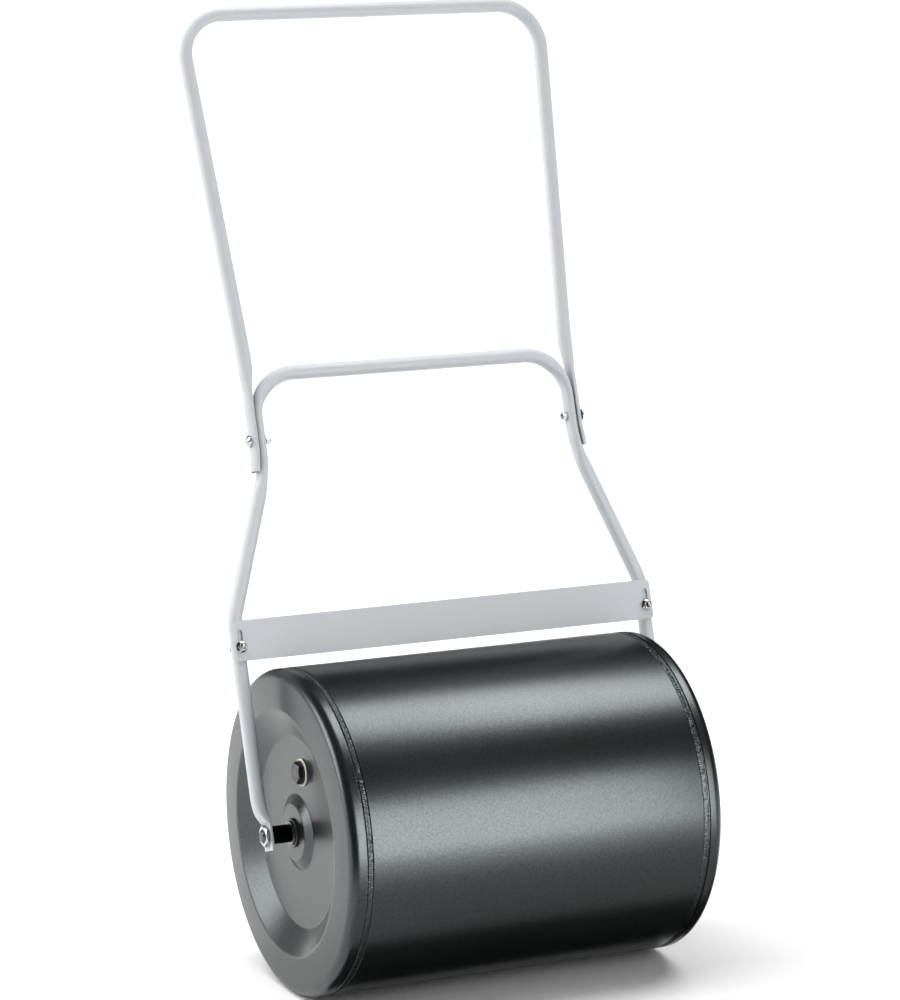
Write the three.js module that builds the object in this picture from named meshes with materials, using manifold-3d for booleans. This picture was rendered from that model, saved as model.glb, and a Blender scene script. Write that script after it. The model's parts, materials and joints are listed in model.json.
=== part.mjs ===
// A garden lawn roller: a hollow steel drum that is filled through a plug in one end cap, turning on an
// axle between the arms of a bent tube frame, with a hairpin push handle bolted on above it and a
// scraper plate that slides in two slots just over the drum.
//
// Millimetres, +Z up. The origin is on the ground under the middle of the drum, the axle runs along X,
// and the frame leans back towards +Y. "Left" is the -X side, which is the side of the filler plug.

import * as THREE from 'three';
import { mergeVertices } from 'three/addons/utils/BufferGeometryUtils.js';
import Module from 'manifold-3d';

const wasm = await Module();
wasm.setup();

// ---------------------------------------------------------------- driving dimensions

const GAP = 0.3; // left between pieces that touch
const LEAN = THREE.MathUtils.degToRad(18.5); // of the frame, back from upright

const drum = { radius: 200, seam: 229.5, sheet: 1.5, beadWidth: 9, sides: 48 };

// The end cap is one pressing: skirt, rolled rim, broad ring, conical step, flat floor, hub boss.
const cap = {
  rimBend: 12.6, // radius of the rolled rim
  rimFace: 248.3, // distances of its faces from the middle of the drum
  ringFace: 250,
  floorFace: 231.3,
  bossFace: 237.8,
  ringRadius: 151, // inner edge of the ring
  floorRadius: 116.6,
  bossBase: 47,
  bossTop: 34.5,
};

const axle = { radius: 8, end: 280.5 };
const hubTube = { outer: 15, inner: 12.5 };
const bush = { flange: 18, thickness: 3, body: 12.2, length: 24, running: 0.08 };
const thrustWasher = { radius: 15, thickness: 2 };
const axleNut = { acrossFlats: 24, thickness: 5 };
const spacerRadius = 11;
const washerFace = cap.bossFace + GAP + bush.thickness + GAP; // where the thrust washer rests on the bush

const tube = { radius: 9, wall: 1.5, sides: 16, innerSides: 8 };

// Half of the lower frame, by height above the axle in the plane of the frame.
const lower = {
  crossbar: 562.5,
  cornerBend: 54,
  jointX: 213.5, // half the spacing of the arms where the handle is bolted on
  armX: 278, // and beside the drum
  waistTop: 443, // the arms spread between these two heights
  waistFoot: 265,
  waistBend: 150,
  shoulderBend: 60,
};
const drainRadius = 2.5;

// The seat is where the lower frame is flattened for the handle, over a run at each end of it.
const seat = { top: 520, foot: 440, run: 30, thin: 6.5, wide: 11 };

// The tab is the foot of each arm, pressed flat for the axle between two heights.
const tab = {
  bottom: -18.5,
  thickness: 4,
  width: 26,
  power: 7, // how square the pressed section is
  outerFace: 272.5,
  pressStart: 54,
  pressEnd: 14,
  hollowFoot: 38, // where the hollow of the tube is pressed shut
};

const handle = {
  topBar: 1018,
  topX: 248.5, // half the spacing of the arms, at the line of the top bar
  cornerBend: 54,
  straightFoot: 576, // the arm is straight and round down to here
  straightX: 219.8,
  saddleTop: 528, // and pressed to a saddle from here to its end
  flareTop: 470, // below here it follows the lower frame outwards
  flare: 2.6,
  end: 443,
  thin: 3.7,
  wide: 11,
  curl: 0.03, // how fast the saddle curls round its seat
};

const m6 = { shank: 3, hole: 3.4, head: 7.7, headHeight: 4, nutFlats: 10, nutHeight: 5, showing: 2.5 };
const jointBoltHeight = 481;

const plate = { halfLength: 285.5, bottom: 212.7, top: 262.5, sheet: 2, corner: 5 };
const slot = { x: 277.5, boltHeight: 230, topHeight: 248, halfWidth: 3.4 };
const flangeNut = { flats: 10, flange: 7.1, flangeHeight: 1.5, height: 6 };

const plug = {
  y: -14,
  aboveAxle: 78,
  flats: 24,
  head: 7.5,
  turned: THREE.MathUtils.degToRad(13), // the way its hexagon has come to rest
  flange: 14.8,
  flangeHeight: 1.5,
  shank: 10.2,
  shankLength: 17,
  sealRadius: 17,
  seal: 2,
};
const bung = { radius: 17, bore: 10.6, length: 12 };

// ---------------------------------------------------------------- materials

function finish(colour, roughness, metalness) {
  return new THREE.MeshStandardMaterial({ color: colour, roughness, metalness });
}

const silverPaint = finish(0xc6cacd, 0.45, 0.3);
const blackPaint = finish(0x26282a, 0.5, 0.3);
const zinc = finish(0xd4d6d3, 0.3, 0.95);
const bareSteel = finish(0x8d8f91, 0.45, 0.9);
const blackPlastic = finish(0x121314, 0.4, 0);
const paleFibre = finish(0xd9c9a3, 0.6, 0);

// ---------------------------------------------------------------- solids

/** The closed mesh of a geometry, with its shared corners merged and its faces turned outwards. */
function closed(geometry) {
  const bare = geometry.clone();
  bare.deleteAttribute('normal');
  bare.deleteAttribute('uv');
  const merged = mergeVertices(bare, 1e-4);
  const indices = Array.from(merged.index.array);
  const kept = [];
  for (let i = 0; i < indices.length; i += 3) {
    const [a, b, c] = indices.slice(i, i + 3);
    if (a !== b && b !== c && c !== a) kept.push(a, b, c);
  }
  merged.setIndex(signedVolume(merged, kept) < 0 ? kept.reverse() : kept);
  return merged;
}

function signedVolume(geometry, indices) {
  const corner = (n) => new THREE.Vector3().fromBufferAttribute(geometry.attributes.position, n);
  let sum = 0;
  for (let i = 0; i < indices.length; i += 3) {
    const [a, b, c] = [corner(indices[i]), corner(indices[i + 1]), corner(indices[i + 2])];
    sum += a.dot(b.cross(c)) / 6;
  }
  return sum;
}

function toSolid(geometry) {
  const mesh = closed(geometry);
  return new wasm.Manifold(
    new wasm.Mesh({
      numProp: 3,
      vertProperties: new Float32Array(mesh.attributes.position.array),
      triVerts: new Uint32Array(mesh.index.array),
    }),
  );
}

function toGeometry(solid) {
  const { vertProperties, triVerts } = solid.getMesh();
  const geometry = new THREE.BufferGeometry();
  geometry.setAttribute('position', new THREE.BufferAttribute(vertProperties, 3));
  geometry.setIndex(new THREE.BufferAttribute(triVerts, 1));
  return geometry;
}

/** One geometry with others cut out of it. */
function cut(geometry, ...tools) {
  return toGeometry(tools.reduce((solid, tool) => solid.subtract(toSolid(tool)), toSolid(geometry)));
}

/** Several overlapping geometries joined into one. */
function join(first, ...others) {
  return toGeometry(others.reduce((solid, other) => solid.add(toSolid(other)), toSolid(first)));
}

/** Turned about the X axis from [x, radius] points. The radii are those of the polygon's flats. */
function turned(points, sides) {
  const overFlats = 1 / Math.cos(Math.PI / sides);
  const profile = points.map(([x, radius]) => new THREE.Vector2(radius * overFlats, x));
  // A lathe turns about Y. Its first corner is half a side round, which puts a flat at the bottom.
  return new THREE.LatheGeometry(profile, sides, Math.PI / sides).rotateZ(-Math.PI / 2);
}

/** A ring about the X axis between two x positions and two radii. */
function ring(x0, x1, inner, outer, sides = 24) {
  return turned([[x0, inner], [x0, outer], [x1, outer], [x1, inner], [x0, inner]], sides);
}

/** A round bar along X. */
function bar(x0, x1, radius, sides = 24) {
  return turned([[x0, 0], [x0, radius], [x1, radius], [x1, 0]], sides);
}

/** A hexagonal bar along X, with flats facing up and down. */
function hexBar(x0, x1, acrossFlats) {
  return bar(x0, x1, acrossFlats / 2, 6);
}

// ---------------------------------------------------------------- bent tube

/**
 * The stations of a line through [x, z, bend radius] corners: straight runs joined by arcs. A corner
 * with no bend radius is one station of its own. Each station is a point and a direction of travel.
 */
function stationsThrough(corners) {
  const points = corners.map(([x, z]) => new THREE.Vector2(x, z));
  const headings = points.slice(1).map((point, i) => point.clone().sub(points[i]).normalize());
  return corners.flatMap(([, , bend], i) => {
    const arriving = headings[Math.max(i - 1, 0)];
    const leaving = headings[Math.min(i, headings.length - 1)];
    if (!bend) return [{ at: points[i], heading: arriving.clone().add(leaving).normalize() }];
    return arcStations(points[i], arriving, leaving, bend);
  });
}

function arcStations(corner, arriving, leaving, bend) {
  const turn = Math.atan2(arriving.cross(leaving), arriving.dot(leaving));
  const side = Math.sign(turn);
  const start = corner.clone().addScaledVector(arriving, -bend * Math.tan(Math.abs(turn) / 2));
  const centre = start.clone().add(new THREE.Vector2(-arriving.y, arriving.x).multiplyScalar(side * bend));
  const steps = Math.max(3, Math.ceil(Math.abs(turn) / THREE.MathUtils.degToRad(13)));
  return Array.from({ length: steps + 1 }, (_, k) => ({
    at: start.clone().rotateAround(centre, (turn * k) / steps),
    heading: arriving.clone().rotateAround(new THREE.Vector2(), (turn * k) / steps),
  }));
}

/** The corners of a symmetrical hairpin, from those of its right half, listed from its foot upwards. */
function mirrored(rightHalf) {
  const leftHalf = rightHalf.map(([x, z, bend]) => [-x, z, bend]);
  return [...leftHalf, ...rightHalf.toReversed()];
}

function heightsBetween(low, high, count) {
  return Array.from({ length: count }, (_, k) => THREE.MathUtils.lerp(low, high, k / (count - 1)));
}

/** Angles from 0 to the given one, in equal steps. */
function arcSteps(angle, steps) {
  return Array.from({ length: steps + 1 }, (_, k) => (angle * k) / steps);
}

/**
 * A section of tube: a superellipse of half-sizes thin (across the frame plane's depth) and wide, which
 * may be offset outwards and curled inwards. The power is 2 for a circle or an ellipse, more for a
 * section pressed flat.
 */
function section({ thin, wide, power = 2, offset = 0, curl = 0 }, sides) {
  return Array.from({ length: sides }, (_, k) => {
    const angle = (2 * Math.PI * (k + 0.5)) / sides;
    const round = (value) => Math.sign(value) * Math.abs(value) ** (2 / power);
    const across = wide * round(Math.sin(angle));
    return [thin * round(Math.cos(angle)) + offset - curl * across ** 2, across];
  });
}

function blend(from, to, amount) {
  const plain = { power: 2, offset: 0, curl: 0 };
  const [a, b] = [{ ...plain, ...from }, { ...plain, ...to }];
  return Object.fromEntries(Object.keys(a).map((key) => [key, THREE.MathUtils.lerp(a[key], b[key], amount)]));
}

/** How far down from one height to another: 0 above both, 1 below both. */
function progress(height, from, to) {
  return THREE.MathUtils.clamp((from - height) / (from - to), 0, 1);
}

/** The same, starting and ending gently. */
function easedProgress(height, from, to) {
  return THREE.MathUtils.smoothstep(progress(height, from, to), 0, 1);
}

/** Sweeps shapeAt(height) through stations in the XZ plane, with flat ends. */
function sweep(stations, shapeAt, sides, wall = 0) {
  const outlines = stations.map(({ at }) => {
    const shape = shapeAt(at.y);
    return section({ ...shape, thin: shape.thin - wall, wide: shape.wide - wall }, sides);
  });
  const positions = stations.flatMap(({ at, heading }, i) =>
    outlines[i].flatMap(([outwards, across]) => [
      at.x - outwards * heading.y,
      across,
      at.y + outwards * heading.x,
    ]),
  );
  const indices = [];
  for (let i = 0; i + 1 < stations.length; i += 1) {
    for (let k = 0; k < sides; k += 1) {
      const [a, b] = [i * sides + k, i * sides + ((k + 1) % sides)];
      indices.push(a, b, b + sides, a, b + sides, a + sides);
    }
  }
  const ends = [
    [outlines[0], 0],
    [outlines.at(-1), (stations.length - 1) * sides],
  ];
  ends.forEach(([outline, first]) => {
    const flat = outline.map(([outwards, across]) => new THREE.Vector2(outwards, across));
    THREE.ShapeUtils.triangulateShape(flat, []).forEach(([a, b, c]) => {
      const corners = [first + a, first + b, first + c];
      indices.push(...(first === 0 ? corners.reverse() : corners));
    });
  });
  const geometry = new THREE.BufferGeometry();
  geometry.setAttribute('position', new THREE.Float32BufferAttribute(positions, 3));
  geometry.setIndex(indices);
  return geometry;
}

// ---------------------------------------------------------------- the two tubes of the frame

const round = { thin: tube.radius, wide: tube.radius };

/**
 * The lower frame: round, flattened as a seat for the handle, and pressed to a tab at its foot. The foot
 * flattens faster and faster, so the tube stays nearly round almost down to the axle's nut.
 */
function lowerSection(height) {
  const seated = { thin: seat.thin, wide: seat.wide };
  const pressed = {
    thin: tab.thickness / 2,
    wide: tab.width / 2,
    power: tab.power,
    offset: tab.outerFace - tab.thickness / 2 - lower.armX,
  };
  if (height > jointBoltHeight) {
    return blend(round, seated, easedProgress(height, seat.top + seat.run, seat.top));
  }
  if (height > lower.waistFoot) {
    return blend(seated, round, easedProgress(height, seat.foot, seat.foot - seat.run));
  }
  return blend(round, pressed, progress(height, tab.pressStart, tab.pressEnd) ** 3);
}

/** The handle: round, and pressed at its foot to a saddle that nests on the lower frame. */
function handleSection(height) {
  const saddle = { thin: handle.thin, wide: handle.wide, curl: handle.curl };
  return blend(round, saddle, easedProgress(height, handle.straightFoot, handle.saddleTop));
}

function lowerLine(foot) {
  const pressed = heightsBetween(tab.pressEnd, tab.pressStart, 7).filter((z) => z > foot + 1);
  return mirrored([
    [lower.armX, foot],
    ...pressed.map((z) => [lower.armX, z]),
    [lower.armX, lower.waistFoot, lower.shoulderBend],
    [lower.jointX, lower.waistTop, lower.waistBend],
    [lower.jointX, lower.crossbar, lower.cornerBend],
  ]);
}

function handleLine(foot) {
  const saddleX = lower.jointX + seat.thin + GAP + handle.thin;
  const pressed = heightsBetween(handle.saddleTop, handle.straightFoot, 7);
  return mirrored([
    [saddleX + handle.flare, foot],
    [saddleX, handle.flareTop],
    ...pressed.map((z) => [
      THREE.MathUtils.mapLinear(z, handle.saddleTop, handle.straightFoot, saddleX, handle.straightX),
      z,
    ]),
    [handle.topX, handle.topBar, handle.cornerBend],
  ]);
}

/** A bent tube with its hollow, whose line may end short of the tube's ends or past them. */
function hollowTube(outerLine, hollowLine, shapeAt, ...holes) {
  const skin = sweep(stationsThrough(outerLine), shapeAt, tube.sides);
  const hollow = sweep(stationsThrough(hollowLine), shapeAt, tube.innerSides, tube.wall);
  return cut(skin, hollow, ...holes);
}

/** A drain hole through the underside of a crossbar, at the middle of its length. */
function drainHole(crossbar) {
  return bar(-2 * tube.radius, 0, drainRadius).rotateY(-Math.PI / 2).translate(0, 0, crossbar);
}

/** A hole along X, through both arms at one height. */
function crossHole(height, radius) {
  return bar(-2 * lower.armX, 2 * lower.armX, radius).translate(0, 0, height);
}

function lowerFrame() {
  const scraperHoles = [-1, 1].map((side) =>
    bar(-2 * tube.radius, 2 * tube.radius, m6.hole)
      .rotateZ(Math.PI / 2)
      .translate(side * slot.x, 0, slot.boltHeight),
  );
  return hollowTube(
    lowerLine(tab.bottom),
    lowerLine(tab.hollowFoot),
    lowerSection,
    crossHole(0, axle.radius + GAP),
    crossHole(jointBoltHeight, m6.hole),
    drainHole(lower.crossbar),
    ...scraperHoles,
  );
}

function upperHandle() {
  return hollowTube(
    handleLine(handle.end),
    handleLine(handle.end - 1),
    handleSection,
    crossHole(jointBoltHeight, m6.hole),
    drainHole(handle.topBar),
  );
}

// ---------------------------------------------------------------- the drum

/** One surface of the end cap from its skirt to its hub hole, inset from the outer surface. */
function capSurface(inset) {
  const skirt = drum.radius - inset;
  const bend = cap.rimBend - inset;
  const rim = arcSteps(Math.PI / 2, 4).map((angle) => [
    cap.rimFace - cap.rimBend + bend * Math.sin(angle),
    drum.radius - cap.rimBend + bend * Math.cos(angle),
  ]);
  return [
    [drum.seam, skirt],
    ...rim,
    [cap.ringFace - inset, cap.ringRadius],
    [cap.floorFace - inset, cap.floorRadius],
    [cap.floorFace - inset, cap.bossBase],
    [cap.bossFace - inset, cap.bossTop],
    [cap.bossFace - inset, bush.body + GAP],
  ];
}

function endCap(side) {
  const outline = [...capSurface(0), ...capSurface(drum.sheet).reverse(), [drum.seam, drum.radius]];
  return turned(outline.map(([x, radius]) => [side * x, radius]), drum.sides);
}

function leftCap() {
  const fillerHole = atPlug(bar(-cap.ringFace, 2 * drum.sheet - cap.floorFace, bung.bore + GAP));
  return cut(endCap(-1), fillerHole);
}

/** Moves a piece made on the axle's line out to the filler plug's. */
function atPlug(geometry) {
  return geometry.translate(0, plug.y, plug.aboveAxle);
}

function weldBead(side) {
  const [inboard, outboard] = [drum.seam - drum.beadWidth, drum.seam - GAP];
  return ring(side * inboard, side * outboard, drum.radius - drum.sheet, drum.radius, drum.sides);
}

function drumShell() {
  const end = drum.seam - drum.beadWidth - GAP;
  return ring(-end, end, drum.radius - drum.sheet, drum.radius, drum.sides);
}

function axleTube() {
  const end = cap.bossFace - drum.sheet - GAP;
  return ring(-end, end, hubTube.inner, hubTube.outer);
}

function hubBush(side) {
  const seatFace = cap.bossFace + GAP;
  const bore = axle.radius + bush.running;
  const outline = [
    [seatFace - bush.length, bore],
    [seatFace - bush.length, bush.body],
    [seatFace, bush.body],
    [seatFace, bush.flange],
    [seatFace + bush.thickness, bush.flange],
    [seatFace + bush.thickness, bore],
    [seatFace - bush.length, bore],
  ];
  return turned(outline.map(([x, radius]) => [side * x, radius]), 24);
}

function fillerBung() {
  const outside = drum.sheet + GAP - cap.floorFace;
  return atPlug(ring(outside, outside + bung.length, bung.bore, bung.radius));
}

function plugSeal() {
  const seated = -cap.floorFace - GAP;
  return atPlug(ring(seated - plug.seal, seated, plug.shank + GAP, plug.sealRadius));
}

function fillerPlug() {
  const underHead = -cap.floorFace - plug.seal - 2 * GAP;
  const head = hexBar(underHead - plug.head, underHead, plug.flats).rotateX(plug.turned);
  const flange = bar(underHead - plug.flangeHeight, underHead, plug.flange);
  const shank = bar(underHead - plug.head / 2, underHead + plug.shankLength, plug.shank);
  return atPlug(join(head, flange, shank));
}

// ---------------------------------------------------------------- fasteners and axle

/** A domed bolt along X: the underside of its head is at x = 0 and its shank runs towards -X. */
function domedBolt(length) {
  const dome = arcSteps(Math.PI / 2, 4).map((angle) => [
    m6.headHeight * Math.sin(angle),
    m6.head * Math.cos(angle),
  ]);
  return turned([[-length, 0], [-length, m6.shank], [0, m6.shank], ...dome], 16);
}

/** A plain nut along X whose face is at x = 0. */
function nut(acrossFlats, height, bore) {
  return cut(hexBar(0, height, acrossFlats), bar(-1, height + 1, bore));
}

function flangedNut() {
  const { flats, flange, flangeHeight, height } = flangeNut;
  const blank = join(bar(0, flangeHeight, flange), hexBar(flangeHeight / 2, height, flats));
  return cut(blank, bar(-1, height + 1, m6.shank + GAP));
}

function spacer() {
  const outerEnd = tab.outerFace - tab.thickness - GAP;
  return ring(washerFace + thrustWasher.thickness + GAP, outerEnd, axle.radius + GAP, spacerRadius);
}

// ---------------------------------------------------------------- the scraper plate

function scraperPlate() {
  const { halfLength, bottom, top, corner } = plate;
  const outline = new THREE.Shape();
  outline.absarc(halfLength - corner, bottom + corner, corner, -Math.PI / 2, 0);
  outline.absarc(halfLength - corner, top - corner, corner, 0, Math.PI / 2);
  outline.absarc(corner - halfLength, top - corner, corner, Math.PI / 2, Math.PI);
  outline.absarc(corner - halfLength, bottom + corner, corner, Math.PI, 1.5 * Math.PI);
  outline.holes = [-1, 1].map((side) => {
    const hole = new THREE.Path();
    hole.absarc(side * slot.x, slot.topHeight, slot.halfWidth, 0, Math.PI);
    hole.absarc(side * slot.x, slot.boltHeight, slot.halfWidth, Math.PI, 2 * Math.PI);
    return hole;
  });
  const sheet = new THREE.ExtrudeGeometry(outline, {
    depth: plate.sheet,
    bevelEnabled: false,
    curveSegments: 6,
  });
  // Stood up in the plane of the frame, in front of the arms.
  return closed(sheet.rotateX(Math.PI / 2).translate(0, -tube.radius - GAP, 0));
}

// ---------------------------------------------------------------- assembly

const roller = new THREE.Group();

/** What turns with the drum, centred on the axle. */
const rolling = new THREE.Group();
rolling.position.z = drum.radius;

/** What leans with the frame: its z runs up the frame from the axle. */
const leaning = new THREE.Group();
leaning.position.z = drum.radius;
leaning.rotation.x = -LEAN;

roller.add(rolling, leaning);

function piece(group, name, geometry, material) {
  const mesh = new THREE.Mesh(closed(geometry), material);
  mesh.name = name;
  group.add(mesh);
  return mesh;
}

piece(rolling, 'drum_shell', drumShell(), blackPaint);
piece(rolling, 'end_cap_left', leftCap(), blackPaint);
piece(rolling, 'end_cap_right', endCap(1), blackPaint);
piece(rolling, 'axle_tube', axleTube(), bareSteel);
piece(rolling, 'filler_bung', fillerBung(), bareSteel);
piece(rolling, 'plug_seal', plugSeal(), paleFibre);
piece(rolling, 'filler_plug', fillerPlug(), blackPlastic);

piece(leaning, 'lower_frame', lowerFrame(), silverPaint);
piece(leaning, 'upper_handle', upperHandle(), silverPaint);
piece(leaning, 'axle_rod', bar(-axle.end, axle.end, axle.radius), zinc);
piece(leaning, 'scraper_plate', scraperPlate(), silverPaint);

// The pieces below come in pairs. Each is made for the right side, +X, and turned round for the left.

/** The turn about Z that points a piece made along +X away from the middle of the roller. */
const outwards = (side) => (side > 0 ? 0 : Math.PI);

/** The drum's own pieces at one end. */
function drumEnd(hand, side) {
  piece(rolling, `weld_bead_${hand}`, weldBead(side), blackPaint);
  piece(rolling, `hub_bush_${hand}`, hubBush(side), blackPlastic);
}

/** What is threaded on the axle at one end, from the bush outwards. */
function axleEnd(hand, side) {
  const bore = axle.radius + GAP;
  const washer = ring(washerFace, washerFace + thrustWasher.thickness, bore, thrustWasher.radius);
  piece(leaning, `thrust_washer_${hand}`, washer, bareSteel).rotation.z = outwards(side);
  piece(leaning, `axle_spacer_${hand}`, spacer(), blackPlastic).rotation.z = outwards(side);

  // Tightened until a corner points down.
  const endNut = nut(axleNut.acrossFlats, axleNut.thickness, bore).rotateX(Math.PI / 6);
  endNut.translate(tab.outerFace + GAP, 0, 0);
  piece(leaning, `axle_nut_${hand}`, endNut, zinc).rotation.z = outwards(side);
}

/** The bolt that holds the handle to one arm: its head is outside and its nut inside. */
function handleJoint(hand, side) {
  const saddleFace = lower.jointX + seat.thin + 2 * handle.thin + 2 * GAP;
  const nutFace = lower.jointX - seat.thin - GAP;

  const bolt = domedBolt(saddleFace - nutFace + m6.nutHeight + m6.showing);
  const boltPiece = piece(leaning, `handle_bolt_${hand}`, bolt, zinc);
  boltPiece.position.set(side * saddleFace, 0, jointBoltHeight);
  boltPiece.rotation.z = outwards(side);

  const backNut = nut(m6.nutFlats, m6.nutHeight, m6.shank + GAP);
  const nutPiece = piece(leaning, `handle_nut_${hand}`, backNut, zinc);
  nutPiece.position.set(side * nutFace, 0, jointBoltHeight);
  nutPiece.rotation.z = outwards(-side);
}

/** The bolt that clamps one end of the scraper plate: its head is behind the arm and its nut in front. */
function scraperClamp(hand, side) {
  const backFace = tube.radius + GAP;
  const frontFace = -tube.radius - 2 * GAP - plate.sheet;

  const bolt = domedBolt(backFace - frontFace + flangeNut.height + m6.showing);
  const boltPiece = piece(leaning, `scraper_bolt_${hand}`, bolt, zinc);
  boltPiece.position.set(side * slot.x, backFace, slot.boltHeight);
  boltPiece.rotation.z = Math.PI / 2;

  const nutPiece = piece(leaning, `scraper_nut_${hand}`, flangedNut(), zinc);
  nutPiece.position.set(side * slot.x, frontFace, slot.boltHeight);
  nutPiece.rotation.z = -Math.PI / 2;
}

const ends = { left: -1, right: 1 };
for (const [hand, side] of Object.entries(ends)) {
  drumEnd(hand, side);
  axleEnd(hand, side);
  handleJoint(hand, side);
  scraperClamp(hand, side);
}

export default roller;
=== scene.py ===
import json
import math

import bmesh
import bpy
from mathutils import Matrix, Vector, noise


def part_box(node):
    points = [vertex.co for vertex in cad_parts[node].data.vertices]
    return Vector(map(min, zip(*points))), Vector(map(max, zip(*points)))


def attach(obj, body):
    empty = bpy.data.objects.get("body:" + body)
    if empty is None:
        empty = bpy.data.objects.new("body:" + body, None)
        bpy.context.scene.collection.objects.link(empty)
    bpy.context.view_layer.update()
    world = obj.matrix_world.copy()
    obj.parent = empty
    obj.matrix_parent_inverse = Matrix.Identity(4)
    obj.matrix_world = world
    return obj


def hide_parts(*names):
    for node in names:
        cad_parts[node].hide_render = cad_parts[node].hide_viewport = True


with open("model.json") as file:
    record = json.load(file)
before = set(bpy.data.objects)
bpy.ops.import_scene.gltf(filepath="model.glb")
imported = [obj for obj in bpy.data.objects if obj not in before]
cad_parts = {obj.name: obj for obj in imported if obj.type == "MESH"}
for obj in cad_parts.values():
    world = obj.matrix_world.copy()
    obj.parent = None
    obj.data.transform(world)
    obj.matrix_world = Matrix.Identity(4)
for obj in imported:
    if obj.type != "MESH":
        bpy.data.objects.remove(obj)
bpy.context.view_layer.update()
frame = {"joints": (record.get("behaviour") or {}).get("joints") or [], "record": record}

# A garden lawn roller: a black steel drum under a silver tube frame, with a hairpin push handle and a
# scraper plate. Blender's scene is in metres, +Z up, with the origin on the ground under the middle of
# the drum and the axle along X. "Left" is the -X side, which is the side of the filler plug.
#
# Shapes are written in millimetres, as pairs of a point list and a face list, and become metres when
# they are made into an object. Turned shapes run along +X and are turned round for the left side.

MM = 0.001
GAP = 0.3  # left between pieces that touch
BOLT_ROOM = 0.4  # between a bolt and its hole, on the radius

# ---------------------------------------------------------------- what the frame says

BODY_OF = {node: body for body, nodes in frame["record"]["behaviour"]["bodies"].items() for node in nodes}
SLOT_OF = {row["node"]: row["material_slot"] for row in frame["record"]["subparts"]}


def joint(name):
    return next(row for row in frame["joints"] if row["name"] == name)


def middle(node):
    low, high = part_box(node)
    return (low + high) / 2


AXLE = Vector(joint("drum_spin")["pos_m"])
PLUG = Vector((0, middle("plug_seal").y, middle("plug_seal").z))

# The scraper plate slides down the plane of the leaning frame, so its axis gives the frame's lean.
UP = -Vector(joint("scraper_adjust")["axis"]).normalized()
ACROSS = Vector((1, 0, 0))
BACK = UP.cross(ACROSS)

ON_AXLE = Matrix.Translation(AXLE)
LEANING = ON_AXLE @ Matrix((ACROSS, BACK, UP)).transposed().to_4x4()
ENDS = {"left": -1, "right": 1}


def facing(side):
    """Turns a shape made along +X to face away from the middle on either side."""
    return Matrix.Rotation(0 if side > 0 else math.pi, 4, "Z")


ON_PLUG = Matrix.Translation(PLUG) @ facing(-1)

# ---------------------------------------------------------------- sizes, in millimetres

DRUM_RADIUS = 200
SHEET = 1.5
SEAM = 229.5  # where an end cap's skirt meets the weld bead
BEAD_WIDTH = 9
# Points across the weld bead, from the skirt inboard: how far, and how deep below the drum's radius.
BEAD_PROFILE = [(0.3, 1.5), (2, 1.5), (2.6, 0.4), (3.4, 0), (4.6, 0.05), (5.6, 0.45), (7.4, 0.8), (8.6, 0.9)]

# An end cap's faces, by their distance from the middle of the drum, and the radii where they meet.
RIM_FACE, RING_FACE, CAP_FLOOR, BOSS_FACE = 247.7, 250, 231.3, 237.8
RING_INNER, FLOOR_OUTER, BOSS_BASE, BOSS_TOP = 151, 116.6, 47, 34.5
RIM_BEND = 12.6

AXLE_RADIUS = 8
AXLE_END, AXLE_SHOULDER = 280.5, 262  # the thread runs from the shoulder to the end
TUBE_BORE, TUBE_OUTER = 12.5, 15  # radii of the axle tube inside the drum
BUSH_FLANGE, BUSH_THICKNESS, BUSH_BODY, BUSH_LENGTH = 18, 3, 12.2, 24
WASHER_FACE = BOSS_FACE + GAP + BUSH_THICKNESS + GAP
WASHER_RADIUS, WASHER_THICKNESS = 15, 2
SPACER_RADIUS = 11
TAB_FACE, TAB_THICKNESS = 272.5, 4
TAB_FOOT = -18.5  # how high the lower frame's tabs end, from the axle
AXLE_NUT_FLATS, AXLE_NUT_HEIGHT = 24, 5

TUBE_RADIUS, TUBE_WALL = 9, 1.5
# Pressed sections: half their thickness, half their width, how fast the saddle curls round its seat, and
# how square the tab is, where 2 is an ellipse.
SADDLE_THIN, SEAT_THIN, JOINT_WIDE, SADDLE_CURL = 3.7, 6.5, 11, 0.03
TAB_WIDE, TAB_SQUARENESS = 13, 7
# Half the spacing of the lower arms beside the drum and at the joint, and of the handle's above it.
LOWER_ARM, JOINT_ARM, HANDLE_NECK, HANDLE_TOP = 278, 213.5, 219.8, 248.5
# Heights up the frame from the axle: its crossbars, and the bends where a lower arm turns in, and up again.
LOWER_CROSSBAR, TOP_BAR, KNEE, SHOULDER = 562.5, 1018, 265, 443
# Bend radii: at the ends of the crossbars, of the lower arms, and of the handle round its saddles.
CORNER_BEND = 54
KNEE_BEND, SHOULDER_BEND = 60, 150
SPLAY_BEND, NECK_BEND = 60, 200
HANDLE_FOOT = 443  # the height where the handle ends
SPLAY_START, SPLAY = 470, 2.6  # below this height the handle's foot flares outwards, by so much
# Heights between which a tube's section changes: to the seat, round again, to the saddle and to the tab.
SEAT_PRESSED = (550, 520)
SEAT_RELEASED = (440, 410)
SADDLE_PRESSED = (576, 528)
TAB_PRESSED = (54, 14)
TAB_SOLID = 38  # below this the tube's walls are pressed together
JOINT_HEIGHT, CLAMP_HEIGHT, CLAMP_X = 481, 230, 277.5
DRAIN_RADIUS = 2.5
TUBE_EDGE, PLATE_EDGE = 0.35, 0.3  # the most that cut edges are broken by

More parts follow.
